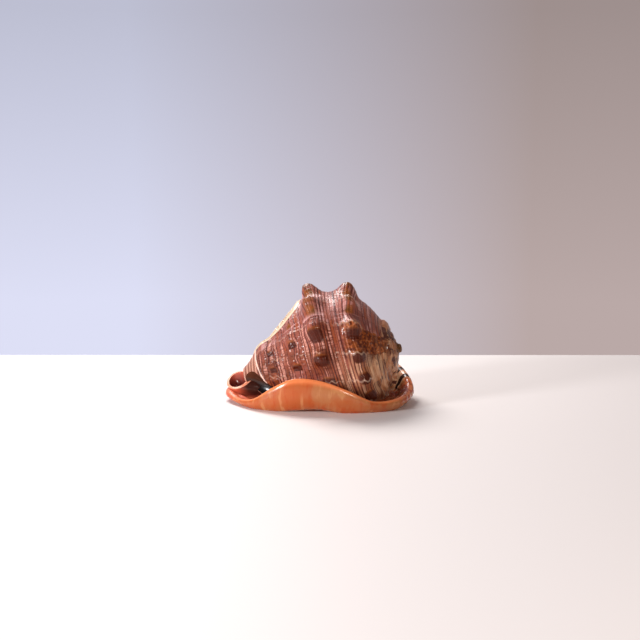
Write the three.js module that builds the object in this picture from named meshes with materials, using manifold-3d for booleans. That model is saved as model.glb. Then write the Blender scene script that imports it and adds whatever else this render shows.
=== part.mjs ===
// Bullmouth helmet shell with a carved cameo medallion, lying on its mouth.
// Millimetres. +X runs to the apex, -Y to the side with the orange shield, +Z is up.
import * as THREE from 'three';
import { mergeVertices } from 'three/addons/utils/BufferGeometryUtils.js';
import Module from 'manifold-3d';

const wasm = await Module();
wasm.setup();

const radians = THREE.MathUtils.degToRad;
const smooth = THREE.MathUtils.smoothstep;
const lerp = THREE.MathUtils.lerp;
const TURN = 2 * Math.PI;

// The coiling axis runs down from the apex to the front end of the shell.
const APEX = new THREE.Vector3(67, 0, 44);
const AXIS_TILT = radians(11.5);
const ALONG = new THREE.Vector3(-Math.cos(AXIS_TILT), 0, -Math.sin(AXIS_TILT));
const UPWARD = new THREE.Vector3(-Math.sin(AXIS_TILT), 0, Math.cos(AXIS_TILT));
const SIDEWAYS = new THREE.Vector3(0, 1, 0);

// Every full turn the whorl grows by this ratio; its growth is seen between these angles.
const WHORL_GROWTH = 1.7;
const GROWTH_START = radians(-140);
const GROWTH_END = radians(150);
const FAR_SIDE_WIDTH = 0.92;

// Line of the body over its back: distance from the apex along the axis, distance from the axis.
const BODY_PROFILE = [
  [0, 0], [0.9, 2.8], [3.4, 4.2], [7, 13], [13.5, 27], [22, 39.5], [35, 49.5], [48.5, 52.8],
  [62.5, 53], [75, 45.5], [87, 36.5], [99, 28], [110, 19.5], [119, 11], [125.5, 6.5], [129, 3.5],
  [130, 0],
];
const BODY_STEPS_AROUND = 80;
const BODY_STEPS_ALONG = 35;
const BODY_STEP_CROWDING = 1.25;
const BODY_FLOOR = 5;

// Rows of knobs: place along the profile, height, reach along the profile, first knob's angle,
// and the angle where the shield covers them on the near side.
const KNOB_PITCH = radians(27);
const KNOB_WIDTH = 0.27;
const KNOB_ROWS = [
  { at: 35, height: 9, reach: 6.0, first: radians(0), covered: radians(150) },
  { at: 62, height: 10, reach: 6.5, first: radians(1), covered: radians(116) },
  { at: 81.5, height: 4.2, reach: 5.5, first: radians(7), covered: radians(112) },
  { at: 99, height: 2.4, reach: 5.0, first: radians(10), covered: radians(108) },
];
// A low ridge joins a row's knobs. They are worn lower towards the shield, and end at the lip.
const KNOB_RIDGE = 0.2;
const KNOB_WORN = 0.6;
const LIP_ANGLE = radians(100);

// Whorls of the spire: radius of the last suture over the back, and the swell of each band.
// The front end is fuller too. Both swells are a share of the distance from the axis.
const LAST_SUTURE = 24;
const BAND_SWELL = 0.14;
const FRONT_SWELL = 0.11;
const SPIRE_END = 45;

// Egg-shaped medallion on the back and far side, where the knobs were ground away: its middle,
// half its length along the axis, half its spread around it, and how square its outline is.
const MEDALLION_AT = 93;
const MEDALLION_ANGLE = radians(27);
const MEDALLION_REACH = 24;
const MEDALLION_SPREAD = radians(46);
const MEDALLION_SQUARENESS = 2.6;
// It stands proud at its back end, and lies almost level with the body at its front end.
const MEDALLION_RISE = 2.6;
const MEDALLION_FRONT_RISE = 0.3;
const MEDALLION_RECESS = 1.8;
const MEDALLION_BORDER = 0.14;
const POSY_RISE = 2;

// Brim: the shield on the near side and the rolled lip on the far side, from the back end
// round the near side: x, y, height of the rim, thickness, lift of the foot off the table.
const RIM_STATIONS = [
  [76, 0, 13, 7, 2], [68, -28, 9.5, 6, 0], [49, -43, 9.5, 5, 0], [29, -49, 18.5, 4.5, 0],
  [8, -51, 25.5, 4, 3], [-12, -51, 26.5, 4, 2], [-29, -47, 19, 4, 0], [-45, -40, 9, 4.5, 0],
  [-60, -25, 6.5, 6, 1], [-71.5, -6, 10, 7, 3], [-68, 14, 11, 8, 3], [-50, 38, 12, 10, 0],
  [-22, 56, 15, 13, 0], [10, 64, 17, 14, 0], [40, 58, 20, 13, 0], [62, 38, 27, 10, 1],
  [73, 19, 21, 8, 2],
];
const BRIM_CENTRE = new THREE.Vector2(0, 6);
const BRIM_STEPS_AROUND = 58;
const BRIM_STEPS_ACROSS = 13;
// Height of the dish inside the rim, and how far the foot and the underside draw in.
const BRIM_FLOOR = 6;
const FOOT_INSET = 6;
const UNDERSIDE_RISE = 4;

// Long narrow mouth: centre line and half width, from the back end to the front end.
const MOUTH_LINE = [
  [56, 20, 2], [44, 17, 5.5], [20, 13, 5], [-5, 8, 4.5], [-30, 3, 5], [-52, 0, 6.5], [-62, 0, 3],
];
const MOUTH_DEPTH = 24;

// Teeth on the lip's side of the mouth and folds on the shield's side, as half-sunk lumps:
// number, half sizes, distance from the mouth's edge, height of the middle.
const LIP_TEETH = { count: 21, sizes: new THREE.Vector3(1.5, 4.2, 2.8), away: 2, height: 3.4 };
const SHIELD_FOLDS = { count: 13, sizes: new THREE.Vector3(1.2, 5.5, 1.8), away: -3, height: 3.2 };
const TEETH_START = 1 / 6;
const TEETH_END = 5 / 6;

// Canal at the front, bent up and away from the table: centre line and radius.
const CANAL_LINE = [
  [-34, 1, 12, 9], [-47, 0, 10, 10], [-57.5, -1, 11.5, 10], [-63.5, -2, 18, 9.5], [-66, -3, 31, 9],
];
const CHANNEL_LINE = [
  [-32, 2, 8, 4], [-46, 1, 8.5, 5], [-56.8, -1, 12, 6.8], [-63, -2.3, 18.4, 8.3], [-66, -3.3, 32, 8.3],
];

// The canal's mouth is cut off along this plane, lower on the near side.
const CANAL_EDGE_POINT = new THREE.Vector3(-64, -2, 16);
const CANAL_EDGE_NORMAL = new THREE.Vector3(-0.3, -0.55, 0.78).normalize();
const CUT_SIZE = 60;

// Dark pit between the canal, the body and the shield.
const PIT_CENTRE = new THREE.Vector3(-45, -17, 15);
const PIT_RADII = new THREE.Vector3(19, 9, 9.5);
const PIT_SLOPE = radians(20);
const PIT_TURN = radians(-12);

// The foot is ground off this far above the lowest point, which leaves flat rests.
const FOOT_TRIM = 0.5;

// Catmull-Rom line through rows of numbers; t runs from 0 to 1 over all rows.
function spline(rows, t, closed = false) {
  const spans = closed ? rows.length : rows.length - 1;
  const place = Math.min(Math.max(t, 0), 1) * spans;
  const first = Math.min(Math.floor(place), spans - 1);
  const f = place - first;
  const row = (i) => closed
    ? rows[(i + rows.length) % rows.length]
    : rows[Math.min(Math.max(i, 0), rows.length - 1)];
  const [a, b, c, d] = [row(first - 1), row(first), row(first + 1), row(first + 2)];
  return b.map((_, k) => 0.5 * (2 * b[k] + (c[k] - a[k]) * f
    + (2 * a[k] - 5 * b[k] + 4 * c[k] - d[k]) * f * f
    + (3 * b[k] - a[k] - 3 * c[k] + d[k]) * f * f * f));
}

// Closed surface from pole to pole: pointAt(u, v) with u once around and v from pole to pole.
function closedSurface(around, along, pointAt) {
  const positions = [];
  const index = [];
  const add = (point) => positions.push(point.x, point.y, point.z);
  add(pointAt(0, 0));
  for (let j = 1; j < along; j += 1) {
    for (let i = 0; i < around; i += 1) add(pointAt(i / around, j / along));
  }
  add(pointAt(0, 1));
  const ring = (i, j) => 1 + (j - 1) * around + (i % around);
  const last = positions.length / 3 - 1;
  for (let i = 0; i < around; i += 1) {
    index.push(0, ring(i + 1, 1), ring(i, 1));
    for (let j = 1; j < along - 1; j += 1) {
      index.push(ring(i, j), ring(i + 1, j), ring(i, j + 1));
      index.push(ring(i + 1, j), ring(i + 1, j + 1), ring(i, j + 1));
    }
    index.push(ring(i, along - 1), ring(i + 1, along - 1), last);
  }
  const geometry = new THREE.BufferGeometry();
  geometry.setAttribute('position', new THREE.Float32BufferAttribute(positions, 3));
  geometry.setIndex(index);
  return geometry;
}

// Volume with a sign: negative when the faces point inwards.
function signedVolume(positions, index) {
  const corner = (k) => new THREE.Vector3().fromArray(positions, 3 * index[k]);
  let volume = 0;
  for (let k = 0; k < index.length; k += 3) {
    volume += corner(k).dot(corner(k + 1).cross(corner(k + 2))) / 6;
  }
  return volume;
}

function toSolid(geometry) {
  const vertProperties = new Float32Array(geometry.attributes.position.array);
  const triVerts = new Uint32Array(geometry.index.array);
  if (signedVolume(vertProperties, triVerts) < 0) triVerts.reverse();
  return new wasm.Manifold(new wasm.Mesh({ numProp: 3, vertProperties, triVerts }));
}

function toGeometry(solid) {
  const mesh = solid.getMesh();
  const geometry = new THREE.BufferGeometry();
  geometry.setAttribute('position', new THREE.BufferAttribute(mesh.vertProperties, 3));
  geometry.setIndex(new THREE.BufferAttribute(mesh.triVerts, 1));
  return geometry;
}

function boxSolid(size, matrix) {
  const geometry = new THREE.BoxGeometry(size.x, size.y, size.z).applyMatrix4(matrix);
  geometry.deleteAttribute('normal');
  geometry.deleteAttribute('uv');
  return toSolid(mergeVertices(geometry));
}

// Angle over the back, from -180 to 180 degrees: 0 on top, negative on the shield's side.
function backAngle(u) {
  const angle = u * TURN;
  return angle > Math.PI ? angle - TURN : angle;
}

// Growth of the last whorl at an angle; under the shell it runs back to its start.
function whorlSize(angle) {
  const grown = (a) => WHORL_GROWTH ** (a / TURN);
  if (angle >= GROWTH_START && angle <= GROWTH_END) return grown(angle);
  const past = angle > 0 ? angle - GROWTH_END : angle + TURN - GROWTH_END;
  const share = past / (GROWTH_START + TURN - GROWTH_END);
  return lerp(grown(GROWTH_END), grown(GROWTH_START), smooth(share, 0, 1));
}

// How far inside the medallion a place is: 1 in its middle, 0 on its edge, negative outside.
function medallionDepth(angle, at) {
  const around = Math.abs(angle - MEDALLION_ANGLE) / MEDALLION_SPREAD;
  const along = Math.abs(at - MEDALLION_AT) / MEDALLION_REACH;
  return 1 - (around ** MEDALLION_SQUARENESS + along ** MEDALLION_SQUARENESS) ** (1 / MEDALLION_SQUARENESS);
}

// Height of the knobs at an angle and a distance along the axis.
function knobHeight(angle, at) {
  let height = 0;
  for (const row of KNOB_ROWS) {
    const last = angle < 0 ? row.covered : LIP_ANGLE;
    const shown = 1 - smooth(Math.abs(angle), last - radians(12), last + radians(6));
    const worn = lerp(1, KNOB_WORN, smooth(-angle, radians(40), radians(105)));
    const place = (angle - row.first) / KNOB_PITCH;
    const offset = (place - Math.round(place)) / KNOB_WIDTH;
    const alongRow = Math.exp(-(((at - row.at) / row.reach) ** 2));
    const aroundRow = KNOB_RIDGE + (1 - KNOB_RIDGE) * Math.exp(-offset * offset);
    height += shown * worn * row.height * alongRow * aroundRow;
  }
  return height;
}

// Swell of the older whorls, whose suture winds in to the apex, and of the front end.
function whorlSwell(angle, at, radius) {
  if (at > SPIRE_END) return FRONT_SWELL * radius * smooth(at, 98, 108);
  const turns = Math.log(Math.max(radius, 1) / LAST_SUTURE) / Math.log(WHORL_GROWTH) - angle / TURN;
  const inBand = turns - Math.floor(turns);
  const shown = 1 - smooth(turns, -0.1, 0.1);
  return shown * BAND_SWELL * radius * Math.sqrt(Math.sin(Math.PI * inBand));
}

function medallionHeight(angle, at) {
  const depth = medallionDepth(angle, at);
  const rise = lerp(MEDALLION_RISE, MEDALLION_FRONT_RISE, smooth(at, 84, 110));
  const plateau = rise * smooth(depth, -0.12, 0.02);
  const ground = MEDALLION_RECESS * smooth(depth, MEDALLION_BORDER, MEDALLION_BORDER + 0.1);
  const posy = POSY_RISE * smooth(depth, 0.45, 0.75);
  return plateau - ground + posy;
}

// The body: its profile grown around the axis, with everything that stands on it added outwards.
function bodyPoint(u, v) {
  const angle = backAngle(u);
  const place = v ** BODY_STEP_CROWDING;
  const [at, radius] = spline(BODY_PROFILE, place);
  const [nextAt, nextRadius] = spline(BODY_PROFILE, Math.min(place + 0.002, 1));
  const [lastAt, lastRadius] = spline(BODY_PROFILE, Math.max(place - 0.002, 0));
  const run = Math.hypot(nextAt - lastAt, nextRadius - lastRadius);
  const outAlong = -(nextRadius - lastRadius) / run;
  const outRadial = (nextAt - lastAt) / run;
  const grown = whorlSize(angle) - 1;
  const size = 1 + grown * smooth(at, 10, 30) * (1 - 0.8 * smooth(at, 75, 122));
  const stretch = 1 + grown * smooth(at, 10, 30) * (1 - smooth(at, 45, 115));
  const inMedallion = smooth(medallionDepth(angle, at), -0.3, 0.05);
  const lift = (1 - inMedallion) * size * knobHeight(angle, at)
    + medallionHeight(angle, at)
    + whorlSwell(angle, at, radius * size);
  const offPole = v > 0 && v < 1 ? 1 : 0;
  const alongAxis = at * stretch + outAlong * lift * offPole;
  const fromAxis = Math.max(0, radius * size + outRadial * lift) * offPole;
  return APEX.clone()
    .addScaledVector(ALONG, alongAxis)
    .addScaledVector(UPWARD, fromAxis * Math.cos(angle))
    .addScaledVector(SIDEWAYS, fromAxis * Math.sin(angle) * (angle > 0 ? FAR_SIDE_WIDTH : 1));
}

// Cross-section of the brim from the middle of the underside, round the rim, to the dish.
function brimSection(reach, height, thickness, lift) {
  const foot = Math.min(FOOT_INSET, height * 0.6);
  return [
    [0, UNDERSIDE_RISE],
    [reach * 0.35, UNDERSIDE_RISE],
    [reach * 0.62, UNDERSIDE_RISE * 0.45],
    [reach - foot - 6, lift + 0.1],
    [reach - foot, lift],
    [reach - foot * 0.4, lift + height * 0.14 + 0.6],
    [reach, height * 0.55],
    [reach - thickness * 0.1, height * 0.88],
    [reach - thickness * 0.5, height],
    [reach - thickness, height * 0.86],
    [reach - thickness - 3, lerp(height, BRIM_FLOOR, 0.6)],
    [reach - thickness - 9, BRIM_FLOOR * 0.9],
    [reach * 0.45, BRIM_FLOOR],
    [0, BRIM_FLOOR],
  ];
}

function brimPoint(u, v) {
  const [x, y, height, thickness, lift] = spline(RIM_STATIONS, u, true);
  const out = new THREE.Vector2(x, y).sub(BRIM_CENTRE);
  const reach = out.length();
  out.normalize();
  const [away, z] = spline(brimSection(reach, height, thickness, lift), v);
  const distance = v > 0 && v < 1 ? away : 0;
  return new THREE.Vector3(BRIM_CENTRE.x + out.x * distance, BRIM_CENTRE.y + out.y * distance, z);
}

// Round bar along a line of [x, y, z, radius] rows, with rounded ends.
function barGeometry(line, sides, steps) {
  return closedSurface(sides, steps, (u, v) => {
    const [x, y, z, radius] = spline(line, v);
    const [x2, y2, z2] = spline(line, Math.min(v + 0.01, 1));
    const [x1, y1, z1] = spline(line, Math.max(v - 0.01, 0));
    const heading = new THREE.Vector3(x2 - x1, y2 - y1, z2 - z1).normalize();
    const side = new THREE.Vector3(0, 1, 0).cross(heading).normalize();
    const other = heading.clone().cross(side);
    const around = v > 0 && v < 1 ? radius * Math.sin(Math.PI * v) ** 0.175 : 0;
    return new THREE.Vector3(x, y, z)
      .addScaledVector(side, around * Math.cos(u * TURN))
      .addScaledVector(other, around * Math.sin(u * TURN));
  });
}

// Hollow of the mouth, open below: an oval along the mouth's line.
function mouthGeometry() {
  return closedSurface(12, 18, (u, v) => {
    const [x, y, halfWidth] = spline(MOUTH_LINE, v);
    const offPole = v > 0 && v < 1 ? 1 : 0;
    const depth = MOUTH_DEPTH * Math.sin(Math.PI * v) ** 0.4;
    return new THREE.Vector3(
      x,
      y + offPole * halfWidth * Math.cos(u * TURN),
      offPole * depth * Math.sin(u * TURN),
    );
  });
}

// Rounded lump with the given half sizes.
function lumpGeometry(halfSizes, around, along) {
  return closedSurface(around, along, (u, v) => new THREE.Vector3(
    halfSizes.x * Math.sin(Math.PI * v) * Math.cos(u * TURN),
    halfSizes.y * Math.sin(Math.PI * v) * Math.sin(u * TURN),
    halfSizes.z * Math.cos(Math.PI * v),
  ));
}

function pitSolid() {
  const pit = lumpGeometry(PIT_RADII, 16, 10).rotateY(PIT_SLOPE).rotateZ(PIT_TURN);
  return toSolid(pit.translate(PIT_CENTRE.x, PIT_CENTRE.y, PIT_CENTRE.z));
}

// One row of teeth beside the mouth; a negative distance puts it on the shield's side.
function teethSolids({ count, sizes, away, height }) {
  const teeth = [];
  for (let i = 0; i < count; i += 1) {
    const place = lerp(TEETH_START, TEETH_END, i / (count - 1));
    const [x, y, halfWidth] = spline(MOUTH_LINE, place);
    const tooth = lumpGeometry(sizes, 6, 4).translate(x, y + Math.sign(away) * halfWidth + away, height);
    teeth.push(toSolid(tooth));
  }
  return teeth;
}

function canalSolid() {
  const wall = toSolid(barGeometry(CANAL_LINE, 18, 14));
  const facing = new THREE.Quaternion().setFromUnitVectors(new THREE.Vector3(0, 0, 1), CANAL_EDGE_NORMAL);
  const middle = CANAL_EDGE_POINT.clone().addScaledVector(CANAL_EDGE_NORMAL, CUT_SIZE / 2);
  const above = new THREE.Matrix4().compose(middle, facing, new THREE.Vector3(1, 1, 1));
  return wall.subtract(boxSolid(new THREE.Vector3(CUT_SIZE, CUT_SIZE, CUT_SIZE), above));
}

// Everything under a height.
function belowSolid(height) {
  const place = new THREE.Matrix4().makeTranslation(0, 0, height - 50);
  return boxSolid(new THREE.Vector3(300, 300, 100), place);
}

function shellGeometry() {
  let shell = toSolid(closedSurface(BODY_STEPS_AROUND, BODY_STEPS_ALONG, bodyPoint));
  shell = shell.subtract(belowSolid(BODY_FLOOR));
  shell = shell.add(toSolid(closedSurface(BRIM_STEPS_AROUND, BRIM_STEPS_ACROSS, brimPoint)));
  shell = shell.subtract(pitSolid());
  shell = shell.add(canalSolid());
  shell = shell.subtract(toSolid(mouthGeometry()));
  shell = shell.subtract(toSolid(barGeometry(CHANNEL_LINE, 14, 12)));
  for (const tooth of teethSolids(LIP_TEETH)) shell = shell.add(tooth);
  for (const fold of teethSolids(SHIELD_FOLDS)) shell = shell.add(fold);
  shell = shell.subtract(belowSolid(FOOT_TRIM));
  return toGeometry(shell);
}

const geometry = shellGeometry();
geometry.computeBoundingBox();
const box = geometry.boundingBox;
const centre = box.getCenter(new THREE.Vector3());
geometry.translate(-centre.x, -centre.y, -box.min.z);

const shell = new THREE.Mesh(
  geometry,
  new THREE.MeshStandardMaterial({ color: 0xb07850, roughness: 0.25, metalness: 0 }),
);
shell.name = 'shell';

const group = new THREE.Group();
group.add(shell);

export default group;
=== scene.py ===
import math

import bpy
import numpy as np
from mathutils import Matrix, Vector


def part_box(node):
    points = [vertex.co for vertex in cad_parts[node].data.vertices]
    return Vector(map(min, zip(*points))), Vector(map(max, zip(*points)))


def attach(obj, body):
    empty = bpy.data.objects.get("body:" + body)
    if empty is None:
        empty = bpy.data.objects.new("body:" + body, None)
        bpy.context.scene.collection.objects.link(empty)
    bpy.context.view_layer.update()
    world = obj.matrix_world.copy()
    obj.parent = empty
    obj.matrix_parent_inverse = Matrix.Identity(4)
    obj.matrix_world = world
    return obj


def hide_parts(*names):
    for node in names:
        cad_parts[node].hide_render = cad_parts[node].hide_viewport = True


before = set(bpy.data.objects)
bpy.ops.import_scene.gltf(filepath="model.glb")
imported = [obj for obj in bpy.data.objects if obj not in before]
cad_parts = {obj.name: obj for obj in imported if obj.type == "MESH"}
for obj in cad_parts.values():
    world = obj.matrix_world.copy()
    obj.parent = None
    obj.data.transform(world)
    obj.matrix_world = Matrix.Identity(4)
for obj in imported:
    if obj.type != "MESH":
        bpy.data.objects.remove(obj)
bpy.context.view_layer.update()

# Carved helmet shell lying on its mouth. Lengths are millimetres until make_object turns them
# into metres. +X runs to the apex, -Y to the side with the orange shield, +Z is up.
TURN = 2 * math.pi
MM = 0.001

# Coiling axis, as in the solid.
APEX = np.array([67.0, 0.0, 44.0])
AXIS_TILT = math.radians(11.5)
ALONG = np.array([-math.cos(AXIS_TILT), 0.0, -math.sin(AXIS_TILT)])
UPWARD = np.array([-math.sin(AXIS_TILT), 0.0, math.cos(AXIS_TILT)])
SIDEWAYS = np.array([0.0, 1.0, 0.0])

# The whorl grows by this factor in a turn, seen between these angles; the brim hides the rest.
WHORL_GROWTH = 1.7
GROWTH_START = math.radians(-140)
GROWTH_END = math.radians(150)
FAR_SIDE_WIDTH = 0.92
# How much of that growth is lost towards the front end, and from where to where along the axis.
WIDTH_FADE = (0.8, 75, 122)
LENGTH_FADE = (1, 45, 115)

# Body over its back: distance from the apex along the axis, distance from the axis.
BODY_PROFILE = [
    [0, 0], [0.9, 2.8], [3.4, 4.2], [7, 13], [13.5, 27], [22, 39.5], [35, 49.5], [48.5, 52.8],
    [62.5, 53], [75, 45.5], [87, 36.5], [99, 28], [110, 19.5], [119, 11], [125.5, 6.5],
    [129, 3.5], [130, 0],
]
BODY_AROUND = 262
BODY_ALONG = 296
BODY_FLOOR = 5
# The body's underside is hidden by the brim, so its columns are wider apart there.
HIDDEN_ANGLE = math.radians(125)
HIDDEN_DENSITY = 0.3
PLAIN_DENSITY = 0.62

# Knob rows: place, height, reach along the profile, first angle, angle where the shield covers.
KNOB_PITCH = math.radians(27)
KNOB_WIDTH = 0.27
KNOB_ROWS = [
    (35, 9.0, 6.0, 0, 150),
    (62, 10.0, 6.5, 1, 116),
    (81.5, 4.2, 5.5, 7, 112),
    (99, 2.4, 5.0, 10, 108),
]
KNOB_RIDGE = 0.2
KNOB_WORN = 0.6
LIP_ANGLE = math.radians(100)
# Brown spot on each knob, by row: half sizes along the profile and around it, how far its middle
# lies below the knob's, and how far that changes down the near side, as shares of the pitch.
SPOTS = [(5.4, 6.6, 0.41, 0.6), (5.4, 7.0, 0.33, 0.6), (3.4, 4.8, 0.4, 0), (2.6, 3.8, 0.4, 0)]
SPOT_MOVE_ANGLES = (math.radians(40), math.radians(120))

LAST_SUTURE = 24
BAND_SWELL = 0.14
FRONT_SWELL = 0.11
SPIRE_END = 45

# Fine cords that run with the whorl, and growth ridges that cross them.
CORD_PITCH = 2.35
CORD_HEIGHT = 0.34
WRINKLES_PER_TURN = 70
WRINKLE_HEIGHT = 0.1
# Growth ridges are as far apart as the knobs: the angle of one at RIDGE_AT, and how that angle
# slants along the shell. The cords scallop them. Shallow folds cross the cords of the front half.
RIDGE_ANGLE = math.radians(-46.5)
RIDGE_AT = 62
RIDGE_SLANT = math.radians(0.24)
RIDGE_HEIGHT = 0.6
RIDGE_WIDTH = 0.9
RIDGE_SCALLOP = 0.8
FOLD_PITCH = math.radians(6.5)
FOLD_HEIGHT = 0.42
# Rough cords of the ramp between the shoulder and the suture.
RAMP_CORD_PITCH = 3.9
RAMP_CORD_HEIGHT = 1.5

# Thin thread that crosses the front of the body down to the shield.
THREAD_START = 111
THREAD_DROP = 8.2
THREAD_BEND = 3.4
THREAD_END_ANGLE = math.radians(112)
THREAD_HEIGHT = 0.7
THREAD_WIDTH = 0.65

# Egg-shaped medallion.
MEDALLION_AT = 93
MEDALLION_ANGLE = math.radians(27)
MEDALLION_REACH = 24
MEDALLION_SPREAD = math.radians(46)
MEDALLION_SQUARENESS = 2.6
MEDALLION_RISE = 2.6
MEDALLION_FRONT_RISE = 0.3
MEDALLION_RECESS = 1.8
MEDALLION_BORDER = 0.13
# Its piece: length along the shell per millimetre of axis, corners of its mesh, the share of its
# rings that is on top, the depth of its seat in the body, and how deep it is sunk there.
MEDALLION_SLOPE = 1.245
MEDALLION_AROUND = 520
MEDALLION_RINGS = 116
MEDALLION_TOP = 0.9
MEDALLION_SEAT = 3.3
MEDALLION_SINK = 4.2
BEADS = 92
BEAD_DEPTH = 0.085
BEAD_SPREAD = 0.033

# Brim: x, y, height of the rim, thickness, lift of the foot.
RIM_STATIONS = [
    [76, 0, 13, 7, 2], [68, -28, 9.5, 6, 0], [49, -43, 9.5, 5, 0], [29, -49, 18.5, 4.5, 0],
    [8, -51, 25.5, 4, 3], [-12, -51, 26.5, 4, 2], [-29, -47, 19, 4, 0], [-45, -40, 9, 4.5, 0],
    [-60, -25, 6.5, 6, 1], [-71.5, -6, 10, 7, 3], [-68, 14, 11, 8, 3], [-50, 38, 12, 10, 0],
    [-22, 56, 15, 13, 0], [10, 64, 17, 14, 0], [40, 58, 20, 13, 0], [62, 38, 27, 10, 1],
    [73, 19, 21, 8, 2],
]
BRIM_CENTRE = np.array([0.0, 6.0])
BRIM_FLOOR = 6
FOOT_INSET = 6
UNDERSIDE_RISE = 4

# Mouth: centre line and half width, from the back end to the front end.
MOUTH_LINE = [
    [56, 20, 2], [44, 17, 5.5], [20, 13, 5], [-5, 8, 4.5], [-30, 3, 5], [-52, 0, 6.5], [-62, 0, 3],
]
MOUTH_DEPTH = 24
# Rows of teeth: how many, half sizes, distance from the mouth's edge and height. Those on the
# shield's side are long folds.
LIP_TEETH = (21, (1.5, 4.2, 2.3), 2, 2.9)
SHIELD_FOLDS = (26, (0.8, 6.5, 1.5), -4, 3.2)
TEETH_START = 1 / 6
TEETH_END = 5 / 6

# Canal: centre line and radius, of its wall and of its channel.
CANAL_LINE = [
    [-34, 1, 12, 9], [-47, 0, 10, 10], [-57.5, -1, 11.5, 10], [-63.5, -2, 18, 9.5], [-66, -3, 31, 9],
]
CHANNEL_LINE = [
    [-32, 2, 8, 4], [-46, 1, 8.5, 5], [-56.8, -1, 12, 6.8], [-63, -2.3, 18.4, 8.3], [-66, -3.3, 32, 8.3],
]
# Plane that cuts off the canal's wall.
CANAL_EDGE_POINT = np.array([-64.0, -2.0, 16.0])
CANAL_EDGE_NORMAL = np.array([-0.3, -0.55, 0.78])
CUT_SIZE = 60

# Dark pit beside the canal: its middle, half sizes, slope and turn.
PIT_CENTRE = np.array([-45.0, -17.0, 15.0])
PIT_RADII = (19, 9, 9.5)
PIT_SLOPE = math.radians(20)
PIT_TURN = math.radians(-12)
# The foot is cut flat at this height, by a box this wide and deep.
FOOT_TRIM = 0.5
CUTTER_WIDTH = 300
CUTTER_DEPTH = 100

# Edges sharper than this aren't smoothed.
SHARP_ANGLE = math.radians(60)

# Corners around each form, and rings along it.
BRIM_GRID = (300, 74)
PIT_GRID = (72, 44)
CANAL_GRID = (80, 64)
CHANNEL_GRID = (64, 64)
MOUTH_GRID = (36, 90)
TOOTH_GRID = (14, 10)

# Materials of the shell's own piece, in the order of its slots.
SHELL_SLOTS = ["back", "brim", "pit", "mouth", "canal", "canal_edge", "channel", "teeth"]
# What the materials of the back, brim and medallion read: numbers kept at each corner of each face.
TRAITS = ["along", "turn", "radius", "knob", "spot", "across", "panel", "pause", "depth", "relief",
          "height"]
# Sockets of a Mix node for colours.
MIX_SHARE, MIX_FIRST, MIX_SECOND, MIX_RESULT = 0, 6, 7, 2


def smooth(value, low, high):
    share = np.clip((np.asarray(value, float) - low) / (high - low), 0, 1)
    return share * share * (3 - 2 * share)


def lerp(a, b, share):
    return a + (b - a) * share


def bump(value, middle, reach):
    return np.exp(-(((value - middle) / reach) ** 2))


def off_poles(v):
    return (v > 0) & (v < 1)


def fractions(count):
    return np.arange(count) / count


def unit(vectors):
    return vectors / np.linalg.norm(vectors, axis=1)[:, None]


def dome(*shares):
    """Height of a dome, 1 in its middle, at shares of the way to its edge."""
    left = 1
    for share in shares:
        left = left - share ** 2
    return np.sqrt(np.clip(left, 0, 1))


def spline(rows, t, closed=False):
    """Catmull-Rom line through rows of numbers; t runs from 0 to 1 over all rows."""
    rows = np.asarray(rows, float)
    count = len(rows)
    spans = count if closed else count - 1
    place = np.clip(np.asarray(t, float), 0, 1) * spans
    first = np.minimum(np.floor(place).astype(int), spans - 1)
    f = (place - first)[..., None]
    if closed:
        a, b, c, d = (rows[(first + k) % count] for k in (-1, 0, 1, 2))
    else:
        a, b, c, d = (rows[np.clip(first + k, 0, count - 1)] for k in (-1, 0, 1, 2))
    return curve(a, b, c, d, f)


def slope(rows, t, reach):
    """Step along such a line, from a little before t to a little after it."""
    return spline(rows, np.minimum(t + reach, 1)) - spline(rows, np.maximum(t - reach, 0))


def curve(a, b, c, d, f):
    """Catmull-Rom curve from b to c, with a before and d after them."""
    return 0.5 * (
        2 * b + (c - a) * f
        + (2 * a - 5 * b + 4 * c - d) * f ** 2
        + (3 * b - a - 3 * c + d) * f ** 3
    )


def closed_surface(around, along, point_at):
    """Closed surface from pole to pole: places, face groups, laps of their corners, traits."""
    u, v = np.meshgrid(around, along[1:-1])
    u = np.concatenate([[around[0]], u.ravel(), [around[0]]])
    v = np.concatenate([[along[0]], v.ravel(), [along[-1]]])
    points, traits = point_at(u, v)
    count, rings = len(around), len(along) - 2
    i = np.arange(count)
    after = (i + 1) % count
    lap = (after == 0).astype(int)
    none = np.zeros_like(i)
    starts = 1 + count * np.arange(rings - 1)[:, None]
    last = 1 + count * (rings - 1)
    quads = np.stack([starts + i, starts + after, starts + count + after, starts + count + i], 2)
    faces = [
        np.stack([none, 1 + after, 1 + i], 1),
        quads.reshape(-1, 4),
        np.stack([last + i, last + after, np.full_like(i, last + count)], 1),
    ]
    laps = [
        np.stack([none, lap, none], 1),
        np.tile(np.stack([none, lap, lap, none], 1), (rings - 1, 1)),
        np.stack([none, lap, none], 1),
    ]
    if signed_volume(points, faces) < 0:
        faces = [group[:, ::-1] for group in faces]
        laps = [group[:, ::-1] for group in laps]
    return points, faces, laps, traits


def grid_surface(grid, point_at):
    """Closed surface whose places lie evenly around and along it."""
    around, along = grid
    return closed_surface(fractions(around), np.linspace(0, 1, along), point_at)


def signed_volume(points, faces):
    """Six times the volume inside the faces; negative where they point in."""
    volume = 0.0
    for group in faces:
        for k in range(1, group.shape[1] - 1):
            a, b, c = (points[group[:, column]] for column in (0, k, k + 1))
            volume += np.sum(a * np.cross(b, c))
    return volume


def add_object(name, data):
    thing = bpy.data.objects.new(name, data)
    bpy.context.scene.collection.objects.link(thing)
    return thing


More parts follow.
